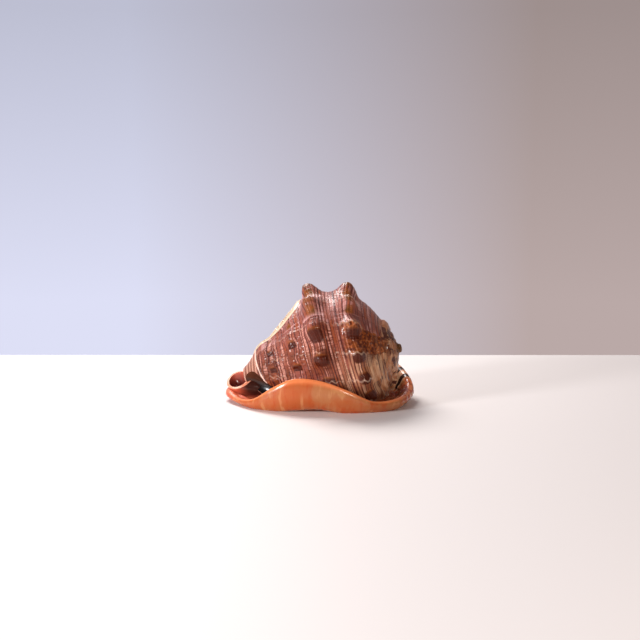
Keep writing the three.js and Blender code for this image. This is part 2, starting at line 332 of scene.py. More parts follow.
def make_object(name, surface, slot):
    """Object of a closed surface, with the traits on its face corners and one material slot."""
    points, faces, laps, traits = surface
    mesh = bpy.data.meshes.new(name)
    mesh.from_pydata((points * MM).tolist(), [], [face for group in faces for face in group.tolist()])
    vertex = np.concatenate([group.ravel() for group in faces])
    lap = np.concatenate([group.ravel() for group in laps])
    for key in TRAITS:
        values = np.broadcast_to(traits.get(key, 0.0), len(points))[vertex]
        if key == "turn":
            values = values + TURN * lap
        mesh.attributes.new(key, "FLOAT", "CORNER").data.foreach_set("value", values.astype(np.float32))
    slots = SHELL_SLOTS if slot in SHELL_SLOTS else [slot]
    for key in slots:
        mesh.materials.append(materials[key])
    mesh.polygons.foreach_set("material_index", [slots.index(slot)] * len(mesh.polygons))
    mesh.update()
    return add_object(name, mesh)


def box_object(low, high, slot):
    corners = np.array([[x, y, z] for x in (low[0], high[0]) for y in (low[1], high[1])
                        for z in (low[2], high[2])], float)
    faces = np.array([(0, 1, 3, 2), (4, 6, 7, 5), (0, 4, 5, 1), (2, 3, 7, 6), (0, 2, 6, 4), (1, 5, 7, 3)])
    return make_object("box", (corners, [faces], [np.zeros_like(faces)], {}), slot)


def below(height, slot):
    half = CUTTER_WIDTH / 2
    return box_object((-half, -half, height - CUTTER_DEPTH), (half, half, height), slot)


def combine(target, tool, operation):
    """Union with, or difference by, another closed object, which is then deleted."""
    step = target.modifiers.new("step", "BOOLEAN")
    step.solver = "MANIFOLD"
    step.operation = operation
    step.material_mode = "INDEX"
    step.object = tool
    made = bpy.data.meshes.new_from_object(
        target.evaluated_get(bpy.context.evaluated_depsgraph_get())
    )
    target.modifiers.clear()
    old = target.data
    target.data = made
    bpy.data.meshes.remove(old)
    tool_mesh = tool.data
    bpy.data.objects.remove(tool)
    bpy.data.meshes.remove(tool_mesh)


def whorl_size(angle):
    share = np.where(angle > 0, angle - GROWTH_END, angle + TURN - GROWTH_END)
    share = share / (GROWTH_START + TURN - GROWTH_END)
    hidden = lerp(WHORL_GROWTH ** (GROWTH_END / TURN), WHORL_GROWTH ** (GROWTH_START / TURN),
                  smooth(share, 0, 1))
    seen = (angle >= GROWTH_START) & (angle <= GROWTH_END)
    return np.where(seen, WHORL_GROWTH ** (angle / TURN), hidden)


def grown(angle, at, fade, low, high):
    """Size of the whorl at each angle and place, as a factor of its profile's."""
    return 1 + (whorl_size(angle) - 1) * smooth(at, 10, 30) * (1 - fade * smooth(at, low, high))


def medallion_depth(angle, at):
    around = np.abs(angle - MEDALLION_ANGLE) / MEDALLION_SPREAD
    along = np.abs(at - MEDALLION_AT) / MEDALLION_REACH
    power = MEDALLION_SQUARENESS
    return 1 - (around ** power + along ** power) ** (1 / power)


def knob_parts(angle, at, radius):
    """Height of the knobs, and traits: their tops, their spots and places across the spots."""
    height = np.zeros_like(angle)
    top = np.zeros_like(angle)
    across_spot = np.zeros_like(angle)
    spot = np.full_like(angle, -1.0)
    for knob, (spot_along, spot_around, drop, move) in zip(KNOB_ROWS, SPOTS):
        place, tall, reach, first, covered = knob
        last = np.where(angle < 0, math.radians(covered), LIP_ANGLE)
        shown = 1 - smooth(np.abs(angle) - last, math.radians(-12), math.radians(6))
        worn = lerp(1, KNOB_WORN, smooth(-angle, math.radians(40), math.radians(105)))
        turns = (angle - math.radians(first)) / KNOB_PITCH
        away = turns - np.round(turns)
        row = bump(at, place, reach)
        peak = bump(away, 0, KNOB_WIDTH)
        height += shown * worn * tall * row * (KNOB_RIDGE + (1 - KNOB_RIDGE) * peak)
        top = np.maximum(top, shown * row * peak)
        lower = drop - move * smooth(-turns * KNOB_PITCH, *SPOT_MOVE_ANGLES)
        across = (away + lower) * KNOB_PITCH * radius / spot_around
        inside = 1 - (np.abs(across) ** 3 + np.abs((at - place) / spot_along) ** 3) ** (1 / 3)
        across_spot = np.where(inside > spot, across, across_spot)
        spot = np.maximum(spot, inside * shown - (1 - shown))
    return height, {"knob": top, "spot": spot, "across": np.clip(across_spot, -2, 2)}


def spire_bands(angle, radius):
    turns = np.log(np.maximum(radius, 1) / LAST_SUTURE) / math.log(WHORL_GROWTH) - angle / TURN
    in_band = turns - np.floor(turns)
    shown = 1 - smooth(turns, -0.1, 0.1)
    return shown * BAND_SWELL * radius * np.sqrt(np.sin(math.pi * in_band))


def waves(angle, at):
    """Slow wander of lines that never grow quite straight, from about -1.6 to 1.6."""
    return np.sin(5 * angle + 0.11 * at) + 0.6 * np.sin(11 * angle - 0.07 * at + 1.3)


def cords(angle, at, radius):
    """Spiral cords, and fine wrinkles across them."""
    shown = smooth(at, 28, 34) * (1 - smooth(at, 119, 125)) * smooth(radius, 6, 16)
    cord = 0.5 + 0.5 * np.cos(TURN * at / CORD_PITCH)
    strength = 0.65 + 0.35 * np.sin(1.1 * at + 2 * np.sin(0.31 * at) + 0.4 * waves(angle, at))
    wrinkle = np.sin(WRINKLES_PER_TURN * angle + 0.8 * waves(angle, 2.3 * at))
    return shown * (CORD_HEIGHT * strength * cord ** 1.5 + WRINKLE_HEIGHT * wrinkle)


def growth_ridges(angle, at, radius):
    """Scalloped ridges where growth paused, their panels, and the distance to the nearest ridge."""
    shown = smooth(at, 24, 30) * (1 - smooth(at, 100, 112)) * (1 - 0.65 * smooth(at, 44, 54))
    scallop = RIDGE_SCALLOP * np.sin(TURN * at / (2 * CORD_PITCH)) / np.maximum(radius, 5)
    panel = (angle - RIDGE_ANGLE + (RIDGE_AT - at) * RIDGE_SLANT + scallop) / KNOB_PITCH
    away = (panel - np.round(panel)) * KNOB_PITCH * radius
    strength = 0.55 + 0.45 * np.cos(2.4 * np.round(panel))
    height = shown * RIDGE_HEIGHT * strength * bump(away, 0, RIDGE_WIDTH)
    return height, {"panel": panel, "pause": np.abs(away)}


def growth_folds(angle, at):
    """Shallow wavy folds across the cords, on the near side of the front half."""
    shown = smooth(at, 66, 76) * (1 - smooth(at, 100, 108)) * smooth(-angle, 0.1, 0.5)
    phase = angle / FOLD_PITCH + 0.25 * np.sin(TURN * at / (3 * CORD_PITCH)) + 0.5 * waves(angle, at)
    return shown * FOLD_HEIGHT * (2 * np.abs(phase - np.round(phase))) ** 2


def ramp_cords(angle, at, radius):
    """Rough, wavy cords between the shoulder and the suture, broken into long nodules."""
    shown = smooth(radius, 10, 20) * (1 - smooth(at, 24, 33))
    rough = smooth(-angle, math.radians(15), math.radians(60)) + smooth(angle, 0.3, 1.2)
    phase = TURN * radius / RAMP_CORD_PITCH + 1.1 * waves(angle, radius) + 0.5 * np.sin(17 * angle)
    cord = np.maximum(np.cos(phase), -0.4)
    nodule = 0.6 + 0.4 * np.sin(13 * angle + 0.8 * radius + 1.5 * np.sin(0.4 * radius))
    return shown * RAMP_CORD_HEIGHT * (0.2 + 0.8 * np.minimum(rough, 1)) * cord * nodule * 0.6


def thread(angle, at):
    place = THREAD_START - THREAD_DROP * np.clip(-angle / THREAD_END_ANGLE, 0, 1) ** THREAD_BEND
    shown = smooth(-angle, -0.2, 0.0) * (1 - smooth(-angle, THREAD_END_ANGLE, THREAD_END_ANGLE + 0.1))
    return shown * THREAD_HEIGHT * bump(at, place, THREAD_WIDTH)


def body_places():
    """Places along the body's profile, closer together where the fine cords are."""
    fine = np.linspace(0, 1, 3000)
    line = spline(BODY_PROFILE, fine)
    density = np.where((line[1:, 0] > 28) & (line[1:, 0] < 118), 1.0, PLAIN_DENSITY)
    length = np.concatenate([[0], np.cumsum(density * np.hypot(*np.diff(line, axis=0).T))])
    return np.interp(np.linspace(0, length[-1], BODY_ALONG), length, fine)


def body_angles():
    """Angles once round, wider apart where the brim hides the body."""
    fine = np.linspace(-math.pi, math.pi, 4000)
    hidden = smooth(np.abs(fine), HIDDEN_ANGLE, HIDDEN_ANGLE + 0.2)
    share = np.cumsum(lerp(1, HIDDEN_DENSITY, hidden))
    share = (share - share[0]) / (share[-1] - share[0])
    return np.interp(fractions(BODY_AROUND), share, fine)


def whorl_point(angle, place, lift):
    """Point on the grown body, lifted outwards."""
    at, radius = spline(BODY_PROFILE, place).T
    step = slope(BODY_PROFILE, place, 0.002)
    run = np.hypot(step[:, 0], step[:, 1])
    out_along, out_radial = -step[:, 1] / run, step[:, 0] / run
    size = grown(angle, at, *WIDTH_FADE)
    stretch = grown(angle, at, *LENGTH_FADE)
    along_axis = at * stretch + out_along * lift * off_poles(place)
    from_axis = np.maximum(0, radius * size + out_radial * lift) * off_poles(place)
    sideways = from_axis * np.sin(angle) * np.where(angle > 0, FAR_SIDE_WIDTH, 1)
    return (APEX + along_axis[:, None] * ALONG + (from_axis * np.cos(angle))[:, None] * UPWARD
            + sideways[:, None] * SIDEWAYS)


def plain_lift(angle, at, radius, depth):
    """Swell under the medallion, bands of the older whorls, and the fuller front end."""
    rise = lerp(MEDALLION_RISE, MEDALLION_FRONT_RISE, smooth(at, 84, 110))
    swell = rise * smooth(depth, -0.12, 0.02)
    front = FRONT_SWELL * radius * smooth(at, 98, 108)
    return swell + np.where(at > SPIRE_END, front, spire_bands(angle, radius))


def body_point(angle, place):
    at, radius = spline(BODY_PROFILE, place).T
    size = grown(angle, at, *WIDTH_FADE)
    wide = radius * size
    knobs, traits = knob_parts(angle, at, wide)
    depth = medallion_depth(angle, at)
    worn = smooth(depth, -0.3, 0.05)
    seat = MEDALLION_SEAT * smooth(depth, 0.02, 0.06)
    ramp = ramp_cords(angle, at, wide)
    ridges, panels = growth_ridges(angle, at, wide)
    texture = cords(angle, at, radius) + growth_folds(angle, at) + ridges + thread(angle, at) + ramp
    lift = (1 - worn) * size * knobs - seat + plain_lift(angle, at, wide, depth)
    lift = lift + (1 - smooth(depth, -0.12, -0.02)) * texture
    traits.update(panels, along=at, turn=angle, radius=wide, depth=depth, height=ramp)
    traits["knob"] = traits["knob"] * (1 - worn)
    traits["spot"] = np.where(worn > 0.5, -1, traits["spot"])
    return whorl_point(angle, place, lift), traits


def petal_place(x, y, petals, turn):
    """Distance from a flower's middle, and place across one of its petals, from -0.5 to 0.5."""
    around = np.arctan2(y, x) * petals / TURN + turn
    return np.hypot(x, y), around - np.floor(around) - 0.5


def petal_ring(x, y, petals, outer, inner, turn, height):
    """One ring of petals that curl up to a rounded outer edge, with a groove between them."""
    distance, in_petal = petal_place(x, y, petals, turn)
    edge = outer * (1 - 0.5 * in_petal ** 2)
    share = np.clip((distance - inner) / (edge - inner), 0, 1)
    gap = (0.5 - np.abs(in_petal)) * TURN / petals * distance
    ribs = 0.05 * np.cos(9 * TURN * in_petal) * share
    lifted = height * (0.5 + 0.5 * share ** 1.5 + ribs) * (1 - 0.45 * bump(gap, 0, 0.4))
    return lifted * smooth(edge - distance, 0, 0.55)


# Rings of a rose, from outside in: petals, outer and inner radius, turn and height.
ROSE_RINGS = [
    (5, 1, 0.5, 0, 0.6), (5, 0.72, 0.34, 0.5, 0.78), (4, 0.48, 0.16, 0.2, 0.92), (3, 0.27, 0.05, 0.7, 1),
]


def blossom(x, y, size, height, turn):
    """Full rose: rings of petals round a closed heart."""
    return np.maximum.reduce([
        petal_ring(x, y, petals, size * outer, size * inner, turn + twist, height * tall)
        for petals, outer, inner, twist, tall in ROSE_RINGS
    ])


def daisy(x, y, size, height, turn):
    """Small open flower with five round petals and a button."""
    distance, in_petal = petal_place(x, y, 5, turn)
    edge = size * np.sqrt(np.clip(1 - (1.7 * in_petal) ** 2, 0.03, 1))
    dish = height * (0.55 + 0.35 * (distance / size) ** 2 - 0.16 * bump(in_petal, 0, 0.06))
    button = height * np.sqrt(np.clip(1.2 - (distance / (size * 0.27)) ** 2, 0, 1))
    return np.maximum(dish * smooth(edge - distance, 0, 0.5), button)


def headed(x, y, start, turn):
    """Distances from a point, along a heading and to its left."""
    dx, dy = x - start[0], y - start[1]
    return dx * math.cos(turn) + dy * math.sin(turn), -dx * math.sin(turn) + dy * math.cos(turn)


def leaf(x, y, root, turn, length, width, height):
    """Pointed leaf that bends sideways, with a sunk middle vein and side veins."""
    along, left = headed(x, y, root, turn)
    share = np.clip(along / length, 0, 1)
    across = left - 0.1 * length * np.sin(math.pi * share)
    notch = 1 + 0.07 * np.cos(TURN * along / 1.5)
    half = width / 2 * np.sin(math.pi * share ** 0.75) ** 0.9 * notch + 1e-6
    swell = dome(across / half)
    vein = 0.34 * bump(across, 0, 0.32) + 0.13 * (0.5 + 0.5 * np.cos(TURN * (along - np.abs(across)) / 1.9))
    inside = smooth(along, 0, 0.5) * smooth(length - along, 0, 0.5) * smooth(half - np.abs(across), 0, 0.45)
    return inside * height * (0.5 + 0.5 * swell - vein)


def stem(x, y, points, width, height):
    """Round stem along a line of points."""
    nearest = np.full(x.shape, 1e9)
    for px, py in spline(points, np.linspace(0, 1, 60)):
        nearest = np.minimum(nearest, np.hypot(x - px, y - py))
    return height * dome(nearest / (width / 2))


def bud(x, y, tip, turn, size, height):
    """Closed bud in its cup, pointing away from its stem."""
    along, across = headed(x, y, tip, turn)
    along, across = along / (size * 1.5), across / size
    body = dome(along, across)
    fold = 0.22 * bump(across - 0.35 * along, 0, 0.12) + 0.15 * bump(along, -0.35, 0.1)
    return np.where(body > 0, height * (body - fold * body), 0)


# Flower spray, in millimetres from the medallion's middle: x to the shell's front end, y over
# its back to the near side. Stems: points, width. Leaves: root, heading, length, width. Daisies:
# middle, size, turn. Buds: tip, heading, size. Roses: middle, size, height, turn.
STEMS = [
    ([(-26, 5), (-18, 9), (-8, 10), (4, 6), (14, 1), (23, -1)], 1.7),
    ([(-24, -8), (-16, -12), (-6, -12), (6, -8), (14, -3)], 1.5),
    ([(4, 6), (10, 7), (16, 6)], 1.3),
    ([(6, -8), (11, -9), (15, -7)], 1.3),
    ([(-16, 10), (-20, 15), (-18, 20)], 1.3),
]
LEAVES = [
    ((-19, 4), 2.6, 9, 5.5), ((-19, -5), 3.7, 9, 5.5), ((-14, 9), 1.75, 12, 6.5),
    ((-6, 11), 1.2, 12, 6.5), ((-14, -10), 4.4, 12, 6.5), ((-5, -11), 5.0, 12, 6.5),
    ((1, 8), 0.75, 12, 6), ((2, -9), 5.5, 11, 6), ((12, 3), 0.7, 8, 4.2), ((12, -4), 5.7, 8, 4.2),
    ((-22, 9), 2.2, 8, 4.6), ((-22, -10), 4.1, 8, 4.6), ((-3, -11), 4.4, 8, 4.5),
]
DAISIES = [((-15, 17), 4.6, 0.1), ((-15, -17), 4.6, 0.35), ((1, 15.5), 3.6, 0.2), ((1, -15), 3.6, 0.45)]
BUDS = [((24.5, -1), 6.1, 1.7), ((17.5, 6.6), 0.25, 1.6), ((17, -7.5), 5.9, 1.6), ((-17.5, 22), 1.4, 1.6)]
ROSES = [((8.5, 0), 6.4, 1.75, 0.3), ((-8.5, 0), 11.0, 2.1, 0)]
STEM_HEIGHT = 0.95
LEAF_HEIGHT = 1.25
DAISY_HEIGHT = 1.5
BUD_HEIGHT = 1.35


def flower_spray(x, y):
    """Height of the carved spray: a rose, a smaller rose, daisies, leaves, buds and stems."""
    parts = [stem(x, y, *sizes, STEM_HEIGHT) for sizes in STEMS]
    parts += [leaf(x, y, *sizes, LEAF_HEIGHT) for sizes in LEAVES]
    parts += [daisy(x - at[0], y - at[1], size, DAISY_HEIGHT, turn) for at, size, turn in DAISIES]
    parts += [bud(x, y, *sizes, BUD_HEIGHT) for sizes in BUDS]
    parts += [blossom(x - at[0], y - at[1], *sizes) for at, *sizes in ROSES]
    return np.maximum.reduce(parts)


def outline_angles():
    """Polar angles whose places on the medallion's outline lie an even distance apart."""
    fine = np.linspace(-math.pi, math.pi, 2001)
    at, angle, _ = medallion_place(fine, np.ones_like(fine))
    line = whorl_point(angle, profile_place(at), 0.0)
    length = np.concatenate([[0], np.cumsum(np.linalg.norm(np.diff(line, axis=0), axis=1))])
    return np.interp(fractions(MEDALLION_AROUND) * length[-1], length, fine)


def profile_place(at):
    """Parameter of the body's profile at a distance along the axis, past the shoulder."""
    fine = np.linspace(0.45, 1, 2000)
    return np.interp(at, spline(BODY_PROFILE, fine)[:, 0], fine)


def medallion_place(polar, away):
    """Place along the axis, angle and depth, at a polar angle and a share of the way out."""
    power = MEDALLION_SQUARENESS
    reach = (np.abs(np.cos(polar)) ** power + np.abs(np.sin(polar)) ** power) ** (-1 / power)
    at = MEDALLION_AT + MEDALLION_REACH * away * reach * np.cos(polar)
    angle = MEDALLION_ANGLE + MEDALLION_SPREAD * away * reach * np.sin(polar)
    return at, angle, 1 - away


def border(depth, share):
    """Border of the medallion, a band and a row of beads: its height, and how pale it is."""
    band = 0.55 * smooth(depth, 0, 0.02) - 0.2 - 0.45 * smooth(depth, 0.04, 0.055)
    inner = 0.45 * smooth(depth, MEDALLION_BORDER - 0.012, MEDALLION_BORDER)
    across = (depth - BEAD_DEPTH) / BEAD_SPREAD
    around = 2.2 * (share * BEADS - np.round(share * BEADS))
    bead = 0.85 * dome(across, around)
    outer_band = 1 - smooth(depth, 0.042, 0.05)
    inner_edge = smooth(depth, MEDALLION_BORDER - 0.01, MEDALLION_BORDER)
    return band + inner + bead, np.maximum.reduce([outer_band, inner_edge, smooth(bead, 0.05, 0.2)])


def medallion_point(polar, v):
    top = v <= MEDALLION_TOP
    away = np.clip(np.where(top, v / MEDALLION_TOP, (1 - v) / (1 - MEDALLION_TOP)), 0, 1)
    at, angle, depth = medallion_place(polar, away)
    place = profile_place(at)
    radius = spline(BODY_PROFILE, place)[:, 1]
    share = np.interp(polar, POLAR_ANGLES, fractions(MEDALLION_AROUND))
    inside = smooth(depth, MEDALLION_BORDER + 0.03, MEDALLION_BORDER + 0.07)
    spray = inside * flower_spray((at - MEDALLION_AT) * MEDALLION_SLOPE, (MEDALLION_ANGLE - angle) * radius)
    ground = MEDALLION_RECESS * smooth(depth, MEDALLION_BORDER + 0.004, MEDALLION_BORDER + 0.03)
    rim, pale = border(depth, share)
    carved = np.where(top, rim - ground + spray, -MEDALLION_SINK)
    points = whorl_point(angle, place, carved + plain_lift(angle, at, radius, depth))
    on_border = 1 - smooth(depth, MEDALLION_BORDER + 0.006, MEDALLION_BORDER + 0.014)
    relief = np.maximum(on_border * pale, smooth(spray, 0.12, 0.4))
    return points, {"along": at, "depth": depth, "relief": relief, "height": spray}


def brim_section(reach, height, thickness, lift):
    """Places from the middle of the underside, round the rim, to the dish: one row for each."""
    foot = np.minimum(FOOT_INSET, height * 0.6)
    rows = [
        (0, UNDERSIDE_RISE),
        (reach * 0.35, UNDERSIDE_RISE),
        (reach * 0.62, UNDERSIDE_RISE * 0.45),
        (reach - foot - 6, lift + 0.1),
        (reach - foot, lift),
        (reach - foot * 0.4, lift + height * 0.14 + 0.6),
        (reach, height * 0.55),
        (reach - thickness * 0.1, height * 0.88),
        (reach - thickness * 0.5, height),
        (reach - thickness, height * 0.86),
        (reach - thickness - 3, lerp(height, BRIM_FLOOR, 0.6)),
        (reach - thickness - 9, BRIM_FLOOR * 0.9),
        (reach * 0.45, BRIM_FLOOR),
        (0, BRIM_FLOOR),
    ]
    return np.stack([np.stack(np.broadcast_arrays(away, z, reach)[:2], 1) for away, z in rows])


def brim_point(u, v):
    x, y, height, thickness, lift = spline(RIM_STATIONS, u, closed=True).T
    out = np.stack([x, y], 1) - BRIM_CENTRE
    reach = np.hypot(out[:, 0], out[:, 1])
    out = out / reach[:, None]
    section = brim_section(reach, height, thickness, lift)
    spans = len(section) - 1
    place = v * spans
    first = np.minimum(np.floor(place).astype(int), spans - 1)
    rows = np.arange(len(u))
    near = [section[np.clip(first + k, 0, spans), rows] for k in (-1, 0, 1, 2)]
    away, z = curve(*near, (place - first)[:, None]).T
    seen = smooth(place, 4.5, 6) * (1 - smooth(place, 11.5, 12.5))
    back_end = smooth(np.abs(u - 0.5), 0.42, 0.47)
    wrinkle = 0.35 * np.sin(61 * u * TURN + 2.2 * np.sin(1.7 * place)) * back_end
    growth = 0.16 * np.sin(TURN * place * 1.6 + 3 * np.sin(4 * u * TURN)) * smooth(place, 8.5, 9.5)
    away = np.where(off_poles(v), away + seen * (wrinkle + growth), 0)
    points = np.stack([BRIM_CENTRE[0] + out[:, 0] * away, BRIM_CENTRE[1] + out[:, 1] * away, z], 1)
    return points, {"along": place, "turn": u * TURN}


def bar_point(line):
    def point_at(u, v):
        row = spline(line, v)
        heading = unit(slope(line, v, 0.01)[:, :3])
        side = unit(np.cross(SIDEWAYS, heading))
        other = np.cross(heading, side)
        around = row[:, 3] * np.sin(math.pi * np.clip(v, 0, 1)) ** 0.175
        around = np.where(off_poles(v), around, 0)[:, None]
        points = row[:, :3] + side * around * np.cos(u * TURN)[:, None]
        points = points + other * around * np.sin(u * TURN)[:, None]
        return points, {}
    return point_at


def mouth_point(u, v):
    x, y, half = spline(MOUTH_LINE, v).T
    depth = MOUTH_DEPTH * np.sin(math.pi * np.clip(v, 0, 1)) ** 0.4
    side = y + off_poles(v) * half * np.cos(u * TURN)
    z = off_poles(v) * depth * np.sin(u * TURN)
    return np.stack([x, side, z], 1), {}


def lump_point(radii):
    def point_at(u, v):
        ring = np.where(off_poles(v), np.sin(math.pi * v), 0)
        points = np.stack([
            radii[0] * ring * np.cos(u * TURN),
            radii[1] * ring * np.sin(u * TURN),
            radii[2] * np.cos(math.pi * v),
        ], 1)
        return points, {}
    return point_at


def turned(points, about_y, about_z):
    """Points turned about Y and then about Z."""
    x, y, z = points.T
    x, z = x * math.cos(about_y) + z * math.sin(about_y), z * math.cos(about_y) - x * math.sin(about_y)
    x, y = x * math.cos(about_z) - y * math.sin(about_z), x * math.sin(about_z) + y * math.cos(about_z)
    return np.stack([x, y, z], 1)


def moved(surface, place, about_y=0.0, about_z=0.0):
    points, faces, laps, traits = surface
    return turned(points, about_y, about_z) + np.asarray(place), faces, laps, traits


def teeth(count, sizes, away, height):
    """One row of teeth beside the mouth; a negative distance is the shield's side."""
    for i in range(count):
        x, y, half = spline(MOUTH_LINE, lerp(TEETH_START, TEETH_END, i / (count - 1)))
        tooth = grid_surface(TOOTH_GRID, lump_point(sizes))
        yield moved(tooth, (x, y + math.copysign(half, away) + away, height))


def canal_object():
    """The canal's wall, cut off along its slanting edge."""
    canal = make_object("canal", grid_surface(CANAL_GRID, bar_point(CANAL_LINE)), "canal")
    half = CUT_SIZE / 2
    cutter = box_object((-half, -half, 0), (half, half, CUT_SIZE), "canal_edge")
    edge = Vector(CANAL_EDGE_NORMAL).to_track_quat("Z", "Y").to_matrix().to_4x4()
    edge.translation = Vector(CANAL_EDGE_POINT * MM)
    cutter.matrix_world = edge
    combine(canal, cutter, "DIFFERENCE")
    return canal


def build_shell():
    shell = make_object("helmet_shell", closed_surface(body_angles(), body_places(), body_point), "back")
    combine(shell, below(BODY_FLOOR, "brim"), "DIFFERENCE")
    combine(shell, make_object("brim", grid_surface(BRIM_GRID, brim_point), "brim"), "UNION")
    pit = moved(grid_surface(PIT_GRID, lump_point(PIT_RADII)), PIT_CENTRE, PIT_SLOPE, PIT_TURN)
    combine(shell, make_object("pit", pit, "pit"), "DIFFERENCE")
    combine(shell, canal_object(), "UNION")
    combine(shell, make_object("mouth", grid_surface(MOUTH_GRID, mouth_point), "mouth"), "DIFFERENCE")
    channel = grid_surface(CHANNEL_GRID, bar_point(CHANNEL_LINE))
    combine(shell, make_object("channel", channel, "channel"), "DIFFERENCE")
    for row in (LIP_TEETH, SHIELD_FOLDS):
        for tooth in teeth(*row):
            combine(shell, make_object("tooth", tooth, "teeth"), "UNION")
    combine(shell, below(FOOT_TRIM, "brim"), "DIFFERENCE")
    return shell


def build_medallion():
    """The carved medallion, a piece of its own that is let into the shell's back."""
    top = np.linspace(0, MEDALLION_TOP, MEDALLION_RINGS)
    underside = MEDALLION_TOP + (1 - MEDALLION_TOP) * np.array([0.02, 0.3, 0.65, 1.0])
    surface = closed_surface(POLAR_ANGLES, np.concatenate([top, underside]), medallion_point)
    return make_object("shell_medallion", surface, "medallion")


def corner_places(mesh):
    places = np.empty(len(mesh.vertices) * 3)
    mesh.vertices.foreach_get("co", places)
    return places.reshape(-1, 3)


def place_in_frame(pieces):
    """Move the pieces so that their box is centred on the solid's and stands on the same surface."""
    places = [corner_places(piece.data) for piece in pieces]
    together = np.concatenate(places)
    low, high = (np.array(corner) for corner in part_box("shell"))
    shift = (low + high) / 2 - (together.min(0) + together.max(0)) / 2
    shift[2] = low[2] - together[:, 2].min()
    for piece, own in zip(pieces, places):
        piece.data.vertices.foreach_set("co", (own + shift).ravel())
        piece.data.update()


class Nodes:
    """Small helper that adds and links the nodes of one material or of the world."""

    def __init__(self, name, kind=bpy.data.materials, shader="Principled BSDF"):
        self.owner = kind.new(name)
        self.owner.use_nodes = True
        self.tree = self.owner.node_tree
        self.shader = self.tree.nodes[shader]
        self.base = None

    def add(self, kind, inputs, **settings):
        node = self.tree.nodes.new(kind)
        for key, value in settings.items():
            setattr(node, key, value)
        self.fill(node, inputs)
        return node

    def fill(self, node, inputs):
        """Give each input its value, or link it to the socket that has it."""
        for key, value in inputs.items():
            if isinstance(value, bpy.types.NodeSocket):
                self.tree.links.new(value, node.inputs[key])
            else:
                node.inputs[key].default_value = value

    def traits(self, *names):
        return [self.add("ShaderNodeAttribute", {}, attribute_name=name).outputs["Fac"] for name in names]

    def math(self, operation, a, b=0.0):
        return self.add("ShaderNodeMath", {0: a, 1: b}, operation=operation).outputs[0]

    def plus(self, a, b):
        return self.math("ADD", a, b)

    def minus(self, a, b):
        return self.math("SUBTRACT", a, b)

    def times(self, *values):
        result = values[0]
        for value in values[1:]:
            result = self.math("MULTIPLY", result, value)
        return result

    def inverse(self, a):
        return self.minus(1.0, a)

    def step(self, value, low, high):
        """0 below low, 1 above high, smooth between; falls instead where low is the larger."""
        limits = {"Value": value, "From Min": min(low, high), "From Max": max(low, high)}
        node = self.add("ShaderNodeMapRange", limits, interpolation_type="SMOOTHSTEP")
        result = node.outputs["Result"]
        return result if low < high else self.inverse(result)

    def band(self, value, low, high, soft):
        """1 between low and high."""
        return self.times(self.step(value, low - soft, low), self.step(value, high + soft, high))

    def mix(self, share, a, b):
        inputs = {MIX_SHARE: share, MIX_FIRST: a, MIX_SECOND: b}
        return self.add("ShaderNodeMix", inputs, data_type="RGBA").outputs[MIX_RESULT]

    def layer(self, base, colour, *shares):
        """The base with a colour laid over it, by the product of the shares."""
        return self.mix(self.times(*shares), base, colour)

    def lay(self, colour, *shares):
        """Lay a colour over the material's own base."""
        self.base = self.layer(self.base, colour, *shares)

    def noise(self, scale, detail, vector, distortion=0.0):
        inputs = {"Scale": scale, "Detail": detail, "Distortion": distortion, "Vector": vector}
        return self.add("ShaderNodeTexNoise", inputs).outputs["Fac"]

    def streaks(self, detail, x, x_scale, y, y_scale, distortion=0.0):
        """Noise read by two values on the surface, each at a scale of its own."""
        place = self.stretched(self.times(x, x_scale), self.times(y, y_scale))
        return self.noise(1.0, detail, place, distortion)

    def place(self, kind="Object"):
        return self.add("ShaderNodeTexCoord", {}).outputs[kind]

    def above_table(self, place):
        """Height above the table, in millimetres."""
        return self.times(self.add("ShaderNodeSeparateXYZ", {"Vector": place}).outputs["Z"], 1 / MM)

    def stretched(self, x, y, z=0.0):
        return self.add("ShaderNodeCombineXYZ", {"X": x, "Y": y, "Z": z}).outputs[0]

    def round(self, angle, radius, along):
        """Place on a cylinder, so that noise read there meets itself after one turn."""
        across = self.times(self.math("COSINE", angle), radius)
        return self.stretched(across, self.times(self.math("SINE", angle), radius), along)

    def near(self, place, centre, radius):
        """1 at a place on the object, given in millimetres, and 0 further away than the radius."""
        inputs = {0: place, 1: [value * MM for value in centre]}
        node = self.add("ShaderNodeVectorMath", inputs, operation="DISTANCE")
        return self.step(node.outputs["Value"], radius * MM, radius * MM * 0.35)

    def finish(self, height, distance, roughness, coat, specular=0.25):
        bumped = self.add("ShaderNodeBump", {"Height": height, "Distance": distance})
        self.fill(self.shader, {
            "Base Color": self.base,
            "Normal": bumped.outputs[0],
            "Roughness": roughness,
            "IOR": SHELL_IOR,
            "Specular IOR Level": specular,
            "Coat Weight": coat,
            "Coat Roughness": COAT_ROUGHNESS,
        })
        return self.owner


def colour(red, green, blue):
    """Linear colour from an sRGB one given in 0 to 255."""
    def linear(value):
        value = value / 255
        return value / 12.92 if value <= 0.04045 else ((value + 0.055) / 1.055) ** 2.4
    return (linear(red), linear(green), linear(blue), 1.0)


# Colours of the back, its knobs and its front end.
MAUVE = colour(150, 86, 74)
LILAC = colour(216, 160, 154)
PALE_LILAC = colour(178, 112, 100)
ROSE_BROWN = colour(156, 84, 68)
ROSY = colour(224, 158, 140)
BROWN = colour(122, 60, 36)
RUST = colour(158, 74, 36)
DARK_RUST = colour(92, 36, 16)
BRIGHT_RUST = colour(168, 86, 36)
MAROON = colour(74, 32, 34)
CHESTNUT = colour(74, 22, 6)
AMBER = colour(156, 84, 38)
OLIVE = colour(110, 70, 32)
TAN = colour(180, 120, 84)
SAND = colour(222, 174, 136)
STREAK = colour(74, 36, 34)
PEACH = colour(248, 208, 180)
FRONT_BROWN = colour(164, 102, 78)
FRONT_RIDGE = colour(244, 190, 166)
THREAD_PALE = colour(252, 214, 196)
